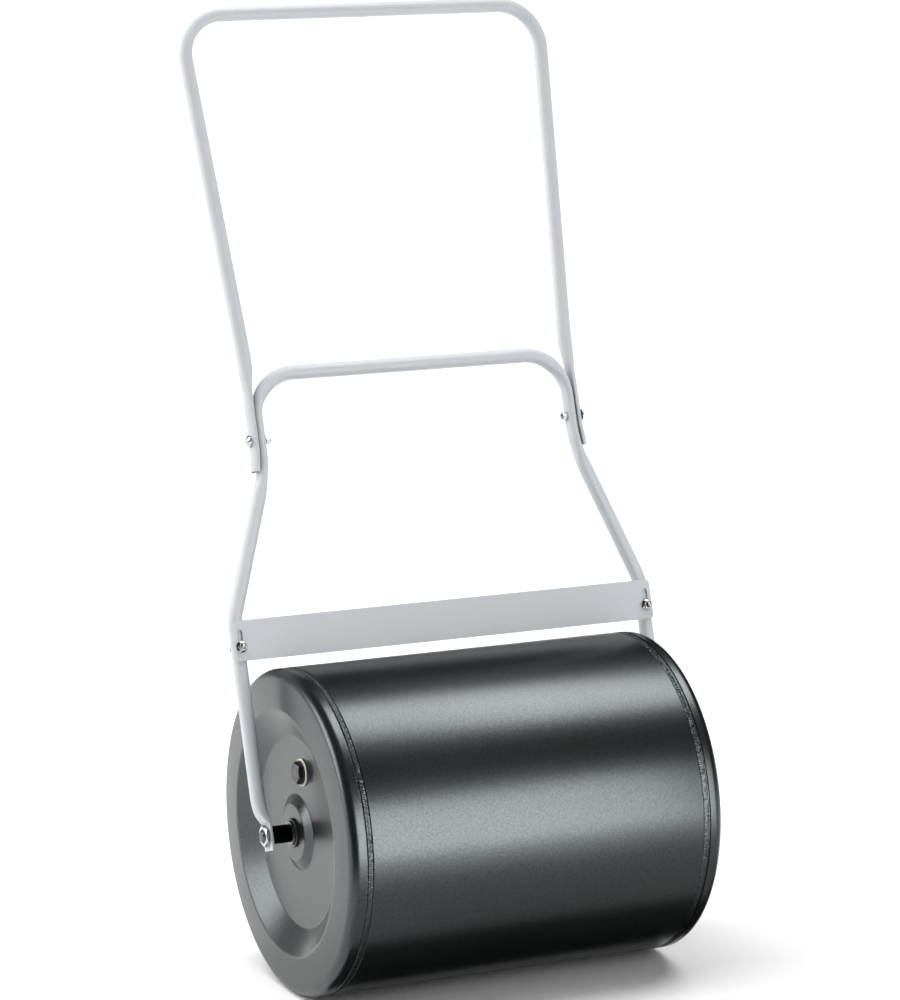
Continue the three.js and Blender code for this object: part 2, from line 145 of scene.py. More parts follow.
PLUG_SIZE = {"flats": 24, "head": 7.5, "flange": 14.8, "flange_height": 1.5, "shank": 10.2, "length": 17}
PLUG_PITCH, PLUG_TURNED = 1.8, math.radians(-13)
FILLER_HOLE, BUNG_BORE, BUNG_RADIUS, BUNG_LENGTH = 10.9, 10.6, 17, 12
SEAL_RADIUS, SEAL_BORE, SEAL_THICKNESS = 17, 10.5, 2

M6 = {"shank": 3, "pitch": 1, "head": 7.7, "head_height": 4, "flats": 10, "nut": 5, "showing": 2.5}
NUT_FLANGE = {"radius": 7.1, "edge": 0.9, "height": 2.2, "nut": 6}
PLATE = {"half_length": 285.5, "bottom": 212.7, "top": 262.5, "sheet": 2, "corner": 5}
SLOT = {"low": 230, "high": 248, "half_width": 3.4}

# ---------------------------------------------------------------- outlines


def arc_points(corner, arrive, leave, radius, steps):
    """The points of a fillet at a corner between two directions of travel."""
    turn = arrive.angle(leave)
    if radius == 0 or turn < 1e-4:
        return [corner]
    reach = radius * math.tan(turn / 2)
    centre = corner + (leave - arrive).normalized() * radius / math.cos(turn / 2)
    start = (corner - arrive * reach - centre).normalized()
    end = (corner + leave * reach - centre).normalized()
    return [centre + start.slerp(end, k / steps) * radius for k in range(steps + 1)]


def rounded(corners, closed=False, steps=6):
    """The points of an outline through (x, y, fillet) corners. The ends of an open one aren't rounded."""
    points = [Vector(corner[:2]) for corner in corners]
    made = []
    for i, (_, _, fillet) in enumerate(corners):
        if not closed and i in (0, len(corners) - 1):
            made.append(points[i])
            continue
        arrive = (points[i] - points[i - 1]).normalized()
        leave = (points[(i + 1) % len(points)] - points[i]).normalized()
        made += arc_points(points[i], arrive, leave, fillet, steps)
    return made


def thickened(points, thickness):
    """A closed outline: an open line of points and its copy, one sheet thickness to the right of it."""
    shifted = []
    for i, point in enumerate(points):
        run = (points[min(i + 1, len(points) - 1)] - points[max(i - 1, 0)]).normalized()
        shifted.append(point + Vector((run.y, -run.x)) * thickness)
    return points + shifted[::-1]


def hexagon(flats, corner=0.5):
    """A hexagon's outline with flats up and down, slightly rounded corners, and points along its sides."""
    reach = flats / math.sqrt(3)
    angles = [math.radians(60 * k) for k in range(6)]
    outline = rounded([(reach * math.cos(a), reach * math.sin(a), corner) for a in angles], closed=True)
    made = []
    for here, there in zip(outline, outline[1:] + outline[:1]):
        steps = math.ceil((there - here).length / (0.06 * flats))
        made += [here.lerp(there, k / steps) for k in range(steps)]
    return made


# ---------------------------------------------------------------- shapes


def skin(rows, around=True, along=False):
    """Faces between rows of equally many points. Each row may close on itself, and so may the run of rows."""
    count, width = len(rows), len(rows[0])
    faces = []
    for i in range(count if along else count - 1):
        here, there = i * width, (i + 1) % count * width
        for k in range(width if around else width - 1):
            after = (k + 1) % width
            faces.append((here + k, here + after, there + after, there + k))
    return [point for row in rows for point in row], faces


def capped(rows):
    """A skin with a flat face over its first row and its last."""
    points, faces = skin(rows)
    width = len(rows[0])
    last = len(points) - width
    return points, [*faces, tuple(range(width)), tuple(range(last, last + width))]


def turned(outline, closed=True, steps=192):
    """Turned about X from an outline of (x, radius) points."""
    angles = [2 * math.pi * k / steps for k in range(steps)]
    rows = [[(x, r * math.cos(a), r * math.sin(a)) for a in angles] for x, r in outline]
    return skin(rows, along=closed)


def ring(x0, x1, inner, outer, soft=0.4, steps=96):
    """A ring about X whose edges are rounded off."""
    corners = [(x0, inner, soft), (x0, outer, soft), (x1, outer, soft), (x1, inner, soft)]
    return turned(rounded(corners, closed=True, steps=3), steps=steps)


def bar(x0, x1, radius, steps=48):
    return turned([(x0, 0), (x0, radius), (x1, radius), (x1, 0)], closed=False, steps=steps)


def hexagonal(x0, x1, flats, bore, bevels=(True, True)):
    """A nut along X. A bevelled face is turned down at the hexagon's corners, as a real one is."""
    outline = hexagon(flats)
    face_radius = 0.47 * flats
    slope = math.tan(math.radians(30))

    def flank(x, inwards, bevelled):
        drop = [max(p.length - face_radius, 0) * slope if bevelled else 0 for p in outline]
        edge = [p * min(face_radius / p.length, 1) if bevelled else p for p in outline]
        face = [(x, *p) for p in edge]
        side = [(x + inwards * d, *p) for d, p in zip(drop, outline)]
        return face, side

    def hole(x, radius):
        return [(x, *(p.normalized() * radius)) for p in outline]

    low_face, low_side = flank(x0, 1, bevels[0])
    high_face, high_side = flank(x1, -1, bevels[1])
    mouth = 0.6
    high_mouth = [hole(x1, bore + mouth), hole(x1 - mouth, bore)]
    low_mouth = [hole(x0 + mouth, bore), hole(x0, bore + mouth)]
    return skin([low_face, low_side, high_side, high_face, *high_mouth, *low_mouth], along=True)


def threaded(x0, x1, radius, pitch, steps=48):
    """A screw thread along X, chamfered where it ends at x1."""
    depth, per_pitch, chamfer = 0.55 * pitch, 8, 1.2
    count = round((x1 - x0) / pitch * per_pitch)
    rows = []
    for i in range(count + 1):
        x = x0 + (x1 - x0) * i / count
        row = []
        for k in range(steps):
            phase = ((x - x0) / pitch + k / steps) % 1
            crest = radius - depth * abs(2 * phase - 1)
            r = min(crest, radius - chamfer * pitch + (x1 - x) * chamfer)
            angle = 2 * math.pi * k / steps
            row.append((x, r * math.cos(angle), r * math.sin(angle)))
        rows.append(row)
    return capped(rows)


def joined(*shapes):
    """Several shapes as one."""
    points, faces = [], []
    for more_points, more_faces in shapes:
        faces += [tuple(len(points) + n for n in face) for face in more_faces]
        points += more_points
    return points, faces


# ---------------------------------------------------------------- bent tube


def stations(corners, arc_step=math.radians(4), spacing=3):
    """Points and directions along straight runs and bends through (x, height, bend radius) corners."""
    points = [Vector(corner[:2]) for corner in corners]
    found = [(points[0], (points[1] - points[0]).normalized())]
    for i in range(1, len(points) - 1):
        arrive = (points[i] - points[i - 1]).normalized()
        leave = (points[i + 1] - points[i]).normalized()
        steps = max(2, math.ceil(arrive.angle(leave) / arc_step))
        bend = arc_points(points[i], arrive, leave, corners[i][2], steps)
        found += [(at, arrive.slerp(leave, k / steps)) for k, at in enumerate(bend)]
    found.append((points[-1], (points[-1] - points[-2]).normalized()))
    return subdivided(found, spacing)


def subdivided(found, spacing):
    """Stations no further apart than a spacing, with more added in between where they are."""
    made = []
    for (at, heading), (next_at, next_heading) in zip(found, found[1:]):
        steps = max(1, math.ceil((next_at - at).length / spacing))
        made += [(at.lerp(next_at, k / steps), heading.slerp(next_heading, k / steps)) for k in range(steps)]
    return [*made, found[-1]]


def hairpin(right_half):
    """The corners of a symmetrical hairpin, from those of its right half, listed from its foot up."""
    return [(-x, z, bend) for x, z, bend in right_half] + right_half[::-1]


def section(thin, wide, power, offset, curl, sides):
    """A tube's section: a superellipse that may be pressed flat, offset outwards and curled inwards."""
    points = []
    for k in range(sides):
        angle = 2 * math.pi * (k + 0.5) / sides
        c, s = math.cos(angle), math.sin(angle)
        across = wide * math.copysign(abs(s) ** (2 / power), s)
        outwards = thin * math.copysign(abs(c) ** (2 / power), c) + offset - curl * across**2
        points.append((outwards, across))
    return points


def progress(height, top, foot):
    """How far down from one height to another: 0 above both, 1 below both."""
    return min(max((top - height) / (top - foot), 0), 1)


def eased(amount):
    """An amount from 0 to 1 that starts and ends gently."""
    return amount * amount * (3 - 2 * amount)


def blended(start, end, amount):
    return [a + (b - a) * amount for a, b in zip(start, end)]


def swept(line, shape_at, inset=0, sides=48):
    """A solid of the section shape_at(height) along a line in the frame's plane."""
    rows = []
    for at, heading in stations(line):
        thin, wide, *rest = shape_at(at.y)
        outline = section(thin - inset, wide - inset, *rest, sides)
        outwards = Vector((-heading.y, heading.x))
        rows.append([(at.x + o * outwards.x, a, at.y + o * outwards.y) for o, a in outline])
    return capped(rows)


# Sections are (thin, wide, power, offset, curl).
ROUND = (TUBE_RADIUS, TUBE_RADIUS, 2, 0, 0)
SEAT = (SEAT_THIN, JOINT_WIDE, 2, 0, 0)
TAB = (TAB_THICKNESS / 2, TAB_WIDE, TAB_SQUARENESS, TAB_FACE - TAB_THICKNESS / 2 - LOWER_ARM, 0)
SADDLE = (SADDLE_THIN, JOINT_WIDE, 2, 0, SADDLE_CURL)


def lower_section(height):
    """Round, flattened as a seat for the handle, and pressed faster and faster to a tab at its foot."""
    if height > JOINT_HEIGHT:
        return blended(ROUND, SEAT, eased(progress(height, *SEAT_PRESSED)))
    if height > KNEE:
        return blended(SEAT, ROUND, eased(progress(height, *SEAT_RELEASED)))
    return blended(ROUND, TAB, progress(height, *TAB_PRESSED) ** 3)


def handle_section(height):
    """Round, and pressed at its foot to a saddle that nests on the lower frame."""
    return blended(ROUND, SADDLE, eased(progress(height, *SADDLE_PRESSED)))


def lower_line(foot):
    """The lower frame's middle line, as (x, height, bend radius) corners, from a foot at some height."""
    return hairpin(
        [
            (LOWER_ARM, foot, 0),
            (LOWER_ARM, KNEE, KNEE_BEND),
            (JOINT_ARM, SHOULDER, SHOULDER_BEND),
            (JOINT_ARM, LOWER_CROSSBAR, CORNER_BEND),
        ]
    )


def handle_line(foot):
    """The handle's middle line, as (x, height, bend radius) corners, from a foot at some height."""
    saddle = JOINT_ARM + SEAT_THIN + GAP + SADDLE_THIN
    neck_height, saddle_top = SADDLE_PRESSED
    return hairpin(
        [
            (saddle + SPLAY, foot, 0),
            (saddle, SPLAY_START, SPLAY_BEND),
            (saddle, saddle_top, NECK_BEND),
            (HANDLE_NECK, neck_height, NECK_BEND),
            (HANDLE_TOP, TOP_BAR, CORNER_BEND),
        ]
    )


# ---------------------------------------------------------------- drum shapes


def cap_sheet():
    """The end cap's pressing: skirt, rolled rim, broad ring, conical step, flat floor and hub boss."""
    outside = rounded(
        [
            (SEAM, DRUM_RADIUS, 0),
            (RIM_FACE, DRUM_RADIUS, RIM_BEND),
            (RING_FACE, RING_INNER, 10),
            (CAP_FLOOR, FLOOR_OUTER, 10),
            (CAP_FLOOR, BOSS_BASE, 5),
            (BOSS_FACE, BOSS_TOP, 5),
            (BOSS_FACE, BUSH_BODY + GAP, 0),
        ],
        steps=10,
    )
    return turned(thickened(outside, SHEET), steps=256)


def barrel():
    end = SEAM - BEAD_WIDTH - GAP
    inner = DRUM_RADIUS - SHEET
    corners = [(-end, inner, 0), (-end, DRUM_RADIUS, 0.7), (end, DRUM_RADIUS, 0.7), (end, inner, 0)]
    return turned(rounded(corners, closed=True), steps=384)


def weld_bead(steps=2160):
    """The uneven weld at a cap: a groove by the skirt, then a lumpy crest, and a slope inboard."""
    angles = [2 * math.pi * k / steps for k in range(steps)]
    rows = []
    # The wander, ripple and lumps are each some millimetres of a pattern that runs round the drum.
    for across, depth in BEAD_PROFILE:
        row = []
        for angle in angles:
            c, s = math.cos(angle), math.sin(angle)
            wander = 0.25 * noise.noise(Vector((60 * c, 60 * s, 0)))
            ripple = 0.15 * math.sin(420 * angle + across)
            lump = 0.45 * noise.noise(Vector((150 * c, 150 * s, 0.8 * across)))
            r = DRUM_RADIUS - min(max(depth + ripple + lump, 0), SHEET)
            row.append((SEAM - across + wander, r * c, r * s))
        rows.append(row)
    root = DRUM_RADIUS - SHEET - 0.6
    for x in (SEAM - BEAD_WIDTH + 0.1, SEAM - GAP):
        rows.append([(x, root * math.cos(angle), root * math.sin(angle)) for angle in angles])
    return skin(rows, along=True)


def hub_bush():
    seat = BOSS_FACE + GAP
    bore = AXLE_RADIUS + 0.08
    outline = [
        (seat - BUSH_LENGTH, bore, 0.5),
        (seat - BUSH_LENGTH, BUSH_BODY, 0.5),
        (seat, BUSH_BODY, 0),
        (seat, BUSH_FLANGE, 0.6),
        (seat + BUSH_THICKNESS, BUSH_FLANGE, 1.2),
        (seat + BUSH_THICKNESS, bore, 0.5),
    ]
    return turned(rounded(outline, closed=True), steps=96)


def filler_plug():
    """The plug as if its seal's outer face were at x = 0: a flanged hexagonal head on a threaded shank."""
    # The flange and hexagon are rings round a core. The face that fills the hexagon is sunk a little in it.
    size = PLUG_SIZE
    head_start, head_end, core = GAP + 1, GAP + size["head"], 7
    flange = ring(GAP, GAP + size["flange_height"], core, size["flange"], soft=0.5)
    hexagon_shape = hexagonal(head_start, head_end, size["flats"], core + 0.2, bevels=(False, True))
    turn = Matrix.Rotation(PLUG_TURNED, 3, "X")
    head = [turn @ Vector(point) for point in hexagon_shape[0]], hexagon_shape[1]
    face = bar(head_start, head_end - 0.15, core + 1)
    shank_points, shank_faces = threaded(0, size["length"], size["shank"], PLUG_PITCH)
    shank = [(GAP - x, y, z) for x, y, z in shank_points], shank_faces
    return joined(flange, head, face, shank)


# ---------------------------------------------------------------- fasteners


def domed_bolt(length):
    """A domed bolt along X: the underside of its head is at x = 0 and its thread runs to -X."""
    radius, height = M6["head"], M6["head_height"]
    head = rounded([(0, 0, 0), (0, radius, 0.3), (0.9, radius, 0.6), (height, 3.2, 3.2), (height, 0, 0)])
    thread_points, thread_faces = threaded(0, length, M6["shank"], M6["pitch"])
    thread = [(-x, y, z) for x, y, z in thread_points], thread_faces
    return joined(turned(head, closed=False, steps=64), thread)


def flanged_nut():
    """A nut on a wide conical flange, with its underside at x = 0."""
    bore = M6["shank"] + GAP
    radius, edge, height = NUT_FLANGE["radius"], NUT_FLANGE["edge"], NUT_FLANGE["height"]
    cone_top = M6["flats"] / 2
    rim = [(0, bore, 0), (0, radius, 0.3), (edge, radius, 0.4)]
    cone = [(height, cone_top, 0.4), (height, bore, 0)]
    flange = turned(rounded(rim + cone, closed=True), steps=64)
    return joined(flange, hexagonal(1, NUT_FLANGE["nut"], M6["flats"], bore, bevels=(False, True)))


def axle_rod():
    """A plain rod with a thread at each end for the axle nuts."""
    points, faces = threaded(AXLE_SHOULDER, AXLE_END, AXLE_RADIUS, pitch=2)
    left_end = [(-x, y, -z) for x, y, z in points], faces
    return joined(bar(-AXLE_SHOULDER, AXLE_SHOULDER, AXLE_RADIUS - 0.05), (points, faces), left_end)


# ---------------------------------------------------------------- the scraper plate


def upright_rectangle(left, right, bottom, top, corner):
    """A rectangle's outline with rounded corners."""
    corners = [(right, bottom), (right, top), (left, top), (left, bottom)]
    return rounded([(x, z, corner) for x, z in corners], closed=True, steps=8)


def plate_outline():
    half = PLATE["half_length"]
    return upright_rectangle(-half, half, PLATE["bottom"], PLATE["top"], PLATE["corner"])


def slot_outline(side):
    half = SLOT["half_width"]
    x = side * CLAMP_X
    return upright_rectangle(x - half, x + half, SLOT["low"] - half, SLOT["high"] + half, 0.999 * half)


def scraper_plate():
    """A flat sheet with rounded corners and two slots, lying in the plane of the frame."""
    front = -TUBE_RADIUS - GAP - PLATE["sheet"]
    flat = bmesh.new()
    edges = []
    for outline in (plate_outline(), slot_outline(-1), slot_outline(1)):
        corners = [flat.verts.new((p.x, front, p.y)) for p in outline]
        edges += [flat.edges.new(pair) for pair in zip(corners, corners[1:] + corners[:1])]
    bmesh.ops.triangle_fill(flat, use_beauty=True, edges=edges)
    bmesh.ops.dissolve_limit(flat, angle_limit=0.01, verts=flat.verts, edges=flat.edges)
    sheet = bmesh.ops.extrude_face_region(flat, geom=flat.faces[:])["geom"]
    moved = [item for item in sheet if isinstance(item, bmesh.types.BMVert)]
    bmesh.ops.translate(flat, vec=(0, PLATE["sheet"], 0), verts=moved)
    flat.verts.index_update()
    shape = [tuple(v.co) for v in flat.verts], [tuple(v.index for v in f.verts) for f in flat.faces]
    flat.free()
    return shape


# ---------------------------------------------------------------- materials


class Finish:
    """A procedural material under construction. Its patterns are laid out in the object's own metres."""

    def __init__(self, name, **surface):
        self.material = bpy.data.materials.new(name)
        self.material.use_nodes = True
        self.tree = self.material.node_tree
        self.surface = self.tree.nodes["Principled BSDF"]
        self.place = self.tree.nodes.new("ShaderNodeTexCoord").outputs["Object"]
        for key, value in surface.items():
            self.surface.inputs[key.replace("_", " ").title().replace("Ior", "IOR")].default_value = value

    def node(self, kind, inputs, **settings):
        """Adds a node. Each input is given a value, or another node's output."""
        made = self.tree.nodes.new(f"ShaderNode{kind}")
        for key, value in settings.items():
            setattr(made, key, value)
        for key, value in inputs.items():
            if isinstance(value, bpy.types.NodeSocket):
                self.tree.links.new(value, made.inputs[key])
            else:
                made.inputs[key].default_value = value
        return made

    def noise(self, size_mm, detail=2.0):
        """A soft pattern whose features are about this many millimetres across, from 0 to 1."""
        inputs = {"Vector": self.place, "Scale": 0.5 / (size_mm * MM), "Detail": detail}
        return self.node("TexNoise", inputs).outputs["Fac"]

    def cells(self, size_mm):
        """The distance from the nearest of many scattered points, in cells."""
        inputs = {"Vector": self.place, "Scale": 1 / (size_mm * MM)}
        return self.node("TexVoronoi", inputs).outputs["Distance"]

    def scaled(self, value, low, high, start=0.0, end=1.0):
        """A value mapped from start..end to low..high, and held at those limits."""
        inputs = {"Value": value, "From Min": start, "From Max": end, "To Min": low, "To Max": high}
        return self.node("MapRange", inputs).outputs["Result"]

    def colour(self, value, low, high):
        """Runs the base colour from one to another with a value from 0 to 1."""
        mixed = self.node("Mix", {"Factor": value, 6: (*low, 1), 7: (*high, 1)}, data_type="RGBA")
        self.tree.links.new(mixed.outputs[2], self.surface.inputs["Base Color"])

    def varied(self, key, value, low, high):
        """Runs an input of the surface from low to high with a noise, most of which lies from 0.3 to 0.7."""
        self.tree.links.new(self.scaled(value, low, high, start=0.3, end=0.7), self.surface.inputs[key])

    def roughness(self, value, low, high):
        self.varied("Roughness", value, low, high)

    def gloss(self, value, low, high):
        """How strongly the surface mirrors, where 0.5 is plain."""
        self.varied("Specular IOR Level", value, low, high)

    def bumps(self, *layers):
        """Raises the surface by layers of (pattern, height in millimetres)."""
        below = None
        for value, height in layers:
            inputs = {"Height": value, "Distance": height * MM, "Strength": 1.0}
            if below is not None:
                inputs["Normal"] = below
            below = self.node("Bump", inputs).outputs["Normal"]
        self.tree.links.new(below, self.surface.inputs["Normal"])


BLACK_TINT = (0.91, 0.985, 1.0, 1)  # the cool cast of what the black paint mirrors


def drum_paint():
    """Satin black paint with a fine orange peel, the odd speck of dust in it, and slow changes of gloss."""
    finish = Finish("drum_paint", metallic=0.0, ior=1.62, specular_tint=BLACK_TINT)
    slow = finish.noise(90, detail=3)
    finish.colour(slow, (0.0045, 0.005, 0.0052), (0.006, 0.0066, 0.007))
    finish.roughness(slow, 0.28, 0.31)
    specks = finish.scaled(finish.cells(14), 1, 0, start=0.0, end=0.045)
    grain = finish.noise(1.1, detail=2)
    finish.gloss(grain, 0.41, 0.59)
    finish.bumps((finish.noise(26, detail=1), 0.05), (grain, 0.08), (specks, 0.08))
    return finish.material


def weld_paint():
    """The same paint over the rough surface of the weld."""
    finish = Finish("weld_paint", metallic=0.0, ior=1.62, specular_tint=BLACK_TINT)
    grain = finish.noise(2.2, detail=4)
    finish.colour(grain, (0.005, 0.0055, 0.006), (0.01, 0.0105, 0.011))
    finish.roughness(grain, 0.25, 0.4)
    finish.bumps((grain, 0.5), (finish.noise(0.7, detail=2), 0.12))
    return finish.material


def silver_paint(name, low, high):
    """Light silver-grey powder coat: a fine texture, and a faint flake in the colour."""
    finish = Finish(name, metallic=0.0, ior=1.5)
    finish.colour(finish.noise(0.9, detail=3), low, high)
    finish.roughness(finish.noise(40), 0.46, 0.54)
    finish.bumps((finish.noise(1.1, detail=2), 0.03), (finish.noise(9, detail=1), 0.02))
    return finish.material


def zinc():
    """Bright zinc plate: cloudy patches, and fine marks from handling."""
    finish = Finish("zinc", metallic=1.0)
    cloud = finish.noise(5, detail=3)
    finish.colour(cloud, (0.38, 0.385, 0.385), (0.5, 0.5, 0.49))
    finish.roughness(cloud, 0.2, 0.27)
    finish.bumps((finish.noise(1.5, detail=1), 0.004))
    return finish.material


def turned_steel():
    """Steel turned on a lathe, with fine rings round the X axis."""
    finish = Finish("turned_steel", metallic=1.0)
    along = finish.node("VectorMath", {0: finish.place, 1: (1, 0.02, 0.02)}, operation="MULTIPLY")
    inputs = {"Vector": along.outputs["Vector"], "Scale": 2500.0, "Detail": 3.0}
    rings = finish.node("TexNoise", inputs).outputs["Fac"]
    finish.colour(finish.noise(5, detail=3), (0.07, 0.07, 0.072), (0.13, 0.13, 0.127))
    finish.roughness(rings, 0.28, 0.46)
    finish.bumps((rings, 0.015))
    return finish.material


def rolled_steel():
    """Bare rolled steel, grey with a darker scale in patches."""
    finish = Finish("rolled_steel", metallic=1.0)
    scale = finish.noise(14, detail=5)
    finish.colour(scale, (0.09, 0.09, 0.093), (0.26, 0.255, 0.25))
    finish.roughness(scale, 0.3, 0.5)
    finish.bumps((finish.noise(1.2, detail=3), 0.05))
    return finish.material


def black_moulding(name, base, low_roughness, high_roughness, grain_mm, gloss=0.5):
    """Black plastic with the fine spark-eroded grain of its mould."""
    finish = Finish(name, metallic=0.0, ior=1.5, specular_ior_level=gloss)
    finish.colour(finish.noise(6, detail=3), tuple(0.8 * c for c in base), tuple(1.3 * c for c in base))
    finish.roughness(finish.noise(3), low_roughness, high_roughness)
    finish.bumps((finish.noise(grain_mm, detail=3), 0.02))
    return finish.material


def sealing_fibre():
    """Pale vulcanised fibre, with a mottle of short hairs."""
    finish = Finish("sealing_fibre", metallic=0.0)
    stretched = finish.node("VectorMath", {0: finish.place, 1: (1, 3, 1)}, operation="MULTIPLY")
    inputs = {"Vector": stretched.outputs["Vector"], "Scale": 900.0, "Detail": 4.0}
    hairs = finish.node("TexNoise", inputs).outputs["Fac"]
    finish.colour(hairs, (0.45, 0.42, 0.34), (0.66, 0.62, 0.52))
    finish.roughness(hairs, 0.42, 0.6)
    finish.bumps((hairs, 0.05))
    return finish.material


def studio_floor():
    """A pale matt sweep of painted board."""
    finish = Finish("studio_floor", metallic=0.0)
    finish.colour(finish.noise(700, detail=2), (0.80, 0.80, 0.80), (0.83, 0.83, 0.83))
    finish.roughness(finish.noise(60), 0.65, 0.75)
    finish.bumps((finish.noise(4, detail=2), 0.02))
    return finish.material


FINISHES = {
    "drum_paint": drum_paint(),
    "weld": weld_paint(),
    "bare_steel": rolled_steel(),
    "bush_plastic": black_moulding("bush_plastic", (0.02, 0.02, 0.021), 0.16, 0.3, 1.2),
    "seal": sealing_fibre(),
    "plug_plastic": black_moulding("plug_plastic", (0.016, 0.016, 0.018), 0.32, 0.42, 0.6),
    "frame_paint": silver_paint("frame_paint", (0.39, 0.41, 0.43), (0.46, 0.48, 0.50)),
    "plate_paint": silver_paint("plate_paint", (0.395, 0.415, 0.435), (0.445, 0.465, 0.485)),
    "axle_steel": turned_steel(),
    "spacer_black": black_moulding("spacer_black", (0.001, 0.001, 0.001), 0.4, 0.55, 0.8, gloss=0.03),
    "zinc": zinc(),
}

# ---------------------------------------------------------------- pieces


def solid(name, shape, place):
    """An object of a shape in millimetres, put in place in the scene, with its faces turned outwards."""
    points, faces = shape
    mesh = bpy.data.meshes.new(name)
    mesh.from_pydata([place @ (Vector(point) * MM) for point in points], [], faces)
    body = bmesh.new()
    body.from_mesh(mesh)
    bmesh.ops.remove_doubles(body, verts=body.verts, dist=1e-6)
    bmesh.ops.recalc_face_normals(body, faces=body.faces)
    body.to_mesh(mesh)
    body.free()
    made = bpy.data.objects.new(name, mesh)
    bpy.context.scene.collection.objects.link(made)
    return made


def applied(made):
    """The object with its modifiers applied to its mesh."""
    bpy.context.view_layer.update()
    result = bpy.data.meshes.new_from_object(made.evaluated_get(bpy.context.evaluated_depsgraph_get()))
    made.modifiers.clear()
    made.data = result
    return made


def cut(made, *tools):
    """Cuts solids out of an object, and removes them."""
    for tool in tools:
        knife = made.modifiers.new("cut", "BOOLEAN")
        knife.operation, knife.solver, knife.object = "DIFFERENCE", "EXACT", tool
        applied(made)
        bpy.data.objects.remove(tool)
    return made


def softened(made, width_mm):
    """The object with its sharp edges broken by up to a width, which a mesh's shortest edges clamp."""
    edge = made.modifiers.new("edges", "BEVEL")
    edge.width, edge.segments, edge.limit_method = width_mm * MM, 2, "ANGLE"
    edge.angle_limit = math.radians(40)
    return applied(made)


def piece(node, made):
    """Finishes an object as the looks of a CAD node, riding on that node's body."""
    made.name = f"{node}_look"
    made.data.shade_smooth()
    made.data.set_sharp_from_angle(angle=math.radians(20))
    made.data.materials.clear()
    made.data.materials.append(FINISHES[SLOT_OF[node]])
    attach(made, BODY_OF[node])
    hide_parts(node)
    return made


def cross_hole(height, radius):
    """A cutter for a hole along X through both arms."""
    reach = 300  # past both arms
    return solid("tool", bar(-reach, reach, radius), LEANING @ Matrix.Translation((0, 0, height * MM)))


def drain_hole(crossbar):
    """A cutter for the small hole in the middle of a crossbar's underside."""
    down = Matrix.Translation((0, 0, crossbar * MM)) @ Matrix.Rotation(math.pi / 2, 4, "Y")
    return solid("tool", bar(0, 2 * TUBE_RADIUS, DRAIN_RADIUS), LEANING @ down)


def clamp_hole(side):
    """A cutter for the scraper bolt's hole through an arm, from front to back."""
    centre = Matrix.Translation((side * CLAMP_X * MM, 0, CLAMP_HEIGHT * MM))
    through = LEANING @ centre @ Matrix.Rotation(math.pi / 2, 4, "Z")
    return solid("tool", bar(-2 * TUBE_RADIUS, 2 * TUBE_RADIUS, M6["shank"] + BOLT_ROOM), through)


# ---------------------------------------------------------------- the drum


def drum_end(hand, side):
    """The cap, bead and bush at one end of the drum."""
    place = ON_AXLE @ facing(side)
    cap = solid("cap", cap_sheet(), place)
    if hand == "left":
        reach = 40  # past both sides of the sheet
        filler_hole = solid("tool", bar(BOSS_FACE - reach, BOSS_FACE + reach, FILLER_HOLE), ON_PLUG)
        cap = cut(cap, filler_hole)
    piece(f"end_cap_{hand}", cap)
    piece(f"weld_bead_{hand}", solid("bead", weld_bead(), place))
    piece(f"hub_bush_{hand}", solid("bush", hub_bush(), place))


def filler():
    """The threaded bung inside the left cap, and the plug on its sealing ring."""
    inside = CAP_FLOOR - SHEET - GAP
    bung = ring(inside - BUNG_LENGTH, inside, BUNG_BORE, BUNG_RADIUS)
    piece("filler_bung", solid("bung", bung, ON_PLUG))
    seal_face = CAP_FLOOR + GAP + SEAL_THICKNESS
    seal = ring(CAP_FLOOR + GAP, seal_face, SEAL_BORE, SEAL_RADIUS, soft=0.7)
    piece("plug_seal", solid("seal", seal, ON_PLUG))
    outward = ON_PLUG @ Matrix.Translation((seal_face * MM, 0, 0))
    piece("filler_plug", solid("plug", filler_plug(), outward))


def axle_tube():
    """The tube that joins the two bosses inside the drum."""
    end = BOSS_FACE - SHEET - GAP
    return ring(-end, end, TUBE_BORE, TUBE_OUTER)


piece("drum_shell", solid("shell", barrel(), ON_AXLE))
piece("axle_tube", solid("axle_tube", axle_tube(), ON_AXLE))
filler()

# ---------------------------------------------------------------- the frame


def lower_frame():
    """The hollow lower tube, with its tabs' axle holes, its bolt holes and a drain hole."""
    frame_tube = solid("lower", swept(lower_line(TAB_FOOT), lower_section), LEANING)
    hollow = solid("tool", swept(lower_line(TAB_SOLID), lower_section, inset=TUBE_WALL, sides=24), LEANING)
    bolt_holes = [cross_hole(JOINT_HEIGHT, M6["shank"] + BOLT_ROOM), clamp_hole(-1), clamp_hole(1)]
    axle_holes = cross_hole(0, AXLE_RADIUS + GAP)
    return softened(cut(frame_tube, hollow, drain_hole(LOWER_CROSSBAR), axle_holes, *bolt_holes), TUBE_EDGE)


def upper_handle():
    """The hollow handle tube, open at its feet, with its bolt holes and a drain hole."""
    handle = solid("handle", swept(handle_line(HANDLE_FOOT), handle_section), LEANING)
    inside = swept(handle_line(HANDLE_FOOT - 1), handle_section, inset=TUBE_WALL, sides=24)
    hollow = solid("tool", inside, LEANING)
    joint_holes = cross_hole(JOINT_HEIGHT, M6["shank"] + BOLT_ROOM)
    return cut(handle, hollow, drain_hole(TOP_BAR), joint_holes)


